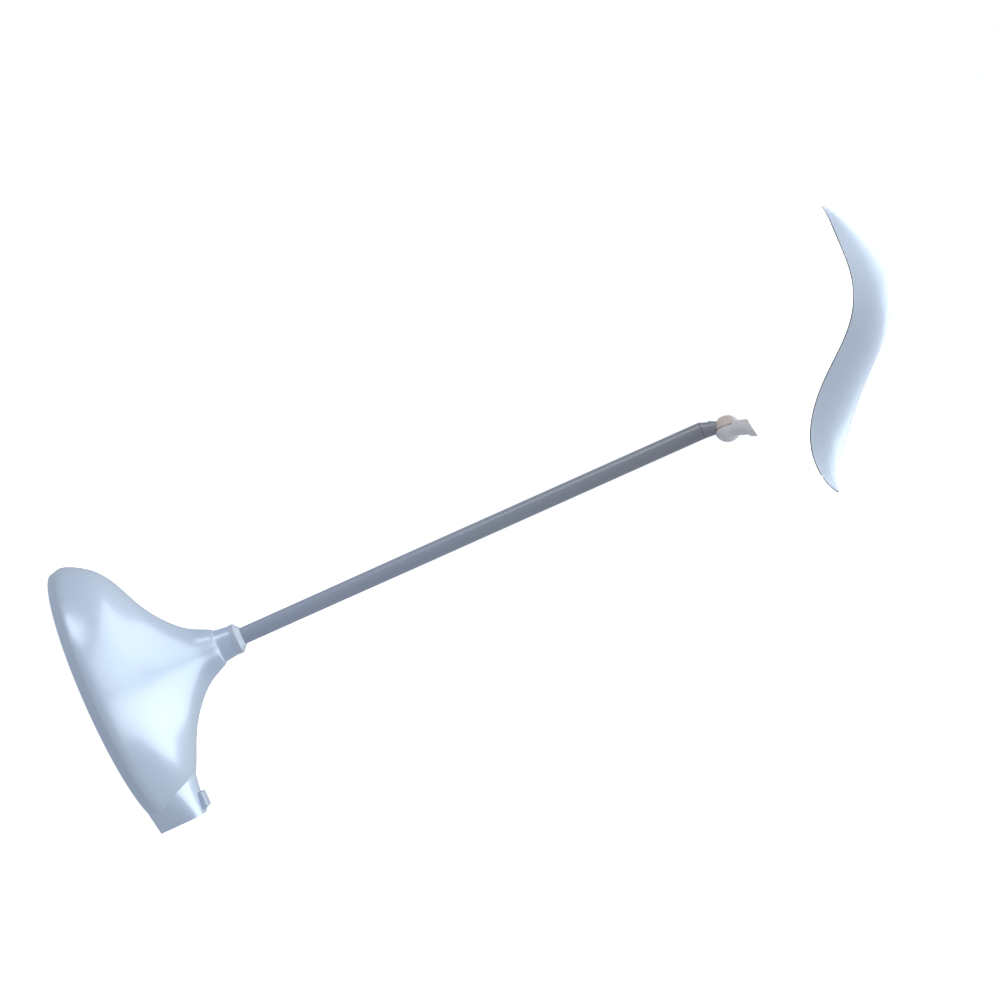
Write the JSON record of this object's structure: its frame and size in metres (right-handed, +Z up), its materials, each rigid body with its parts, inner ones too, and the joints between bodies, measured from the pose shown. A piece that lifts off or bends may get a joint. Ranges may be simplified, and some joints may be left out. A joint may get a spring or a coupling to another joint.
{
  "type": "table lamp",
  "caption": "Table lamp with a trumpet base, slim stem, ball knuckle and a leaf shaped lit head that swivels, tilts and twists; push button and power inlet on the base.",
  "frame": {"origin": "on the table under the stem's axis, at the underside of the foot pads", "axes": "+Z up along the stem; -Y is the side the light faces; +X is the base's inlet side"},
  "size_m": [0.1537, 0.1518, 0.4488],
  "materials": {
    "gloss_shell": "glossy bluish white moulding",
    "stem_paint": "satin blue-grey painted tube",
    "collar_white": "satin blue-grey ring",
    "base_steel": "black painted steel plate",
    "pad_rubber": "soft dark rubber",
    "zinc_steel": "zinc plated",
    "weight_iron": "raw casting",
    "circuit_green": "solder mask",
    "component_dark": "moulded component",
    "choke_copper": "enamelled copper winding",
    "inlet_black": "moulded nylon",
    "button_white": "glossy white cap",
    "lead_black": "insulated lead",
    "knuckle_white": "satin warm white moulding",
    "seam_dark": "dark acetal washer",
    "brass_part": "turned brass",
    "board_white": "white coated aluminium board",
    "led_yellow": "phosphor",
    "seal_grey": "dark grey-green seal",
    "diffuser_milk": "milky diffuser, lit from inside"
  },
  "bodies": {
    "stand": {"base_shell": "gloss_shell", "stem_collar": "collar_white", "base_plate": "base_steel", "foot_pads": "pad_rubber", "base_screws": "zinc_steel", "counterweight": "weight_iron", "weight_screws": "zinc_steel", "board_standoffs": "brass_part", "driver_board": "circuit_green", "board_screws": "zinc_steel", "driver_choke": "choke_copper", "driver_capacitors": "component_dark", "driver_chips": "component_dark", "inlet_socket": "inlet_black", "inlet_pin": "brass_part", "switch_board": "circuit_green", "button_switch": "component_dark", "inlet_lead": "lead_black", "switch_lead": "lead_black", "stem_tube": "stem_paint", "stem_washer": "zinc_steel", "stem_nut": "brass_part", "stem_lead": "lead_black"},
    "button": {"power_button": "button_white"},
    "swivel": {"stem_tip": "stem_paint", "ball_rear_half": "knuckle_white", "swivel_friction_ring": "pad_rubber", "pivot_nut": "brass_part", "pivot_screw": "zinc_steel", "seam_washer": "seam_dark"},
    "knuckle": {"neck": "knuckle_white", "ball_front_half": "knuckle_white", "ball_cap": "knuckle_white"},
    "head": {"head_shell": "gloss_shell", "rim_seal": "seal_grey", "diffuser": "diffuser_milk", "led_board": "board_white", "leds": "led_yellow", "head_screws": "zinc_steel", "neck_ferrule": "knuckle_white", "neck_washer": "zinc_steel", "neck_retainer": "brass_part", "head_lead": "lead_black"}
  },
  "joints": [
    {"name": "button_press", "type": "slide", "parent": "stand", "child": "button", "axis": [0, 0, -1], "range_m": [0, 0.0012], "stiffness_N_per_m": 600, "springref_m": -0.0004},
    {"name": "head_swivel", "type": "hinge", "parent": "stand", "child": "swivel", "pos_m": [0, 0, 0.339], "axis": [0, 0, 1], "range_deg": [-170, 170]},
    {"name": "head_tilt", "type": "hinge", "parent": "swivel", "child": "knuckle", "pos_m": [0.0045, 0, 0.352], "axis": [0.9565, -0.2588, -0.1344], "range_deg": [-60, 50]},
    {"name": "head_twist", "type": "hinge", "parent": "knuckle", "child": "head", "pos_m": [0.0045, 0, 0.352], "axis": [-0.2262, 0.766, -0.6017], "range_deg": [-45, 45]}
  ]
}
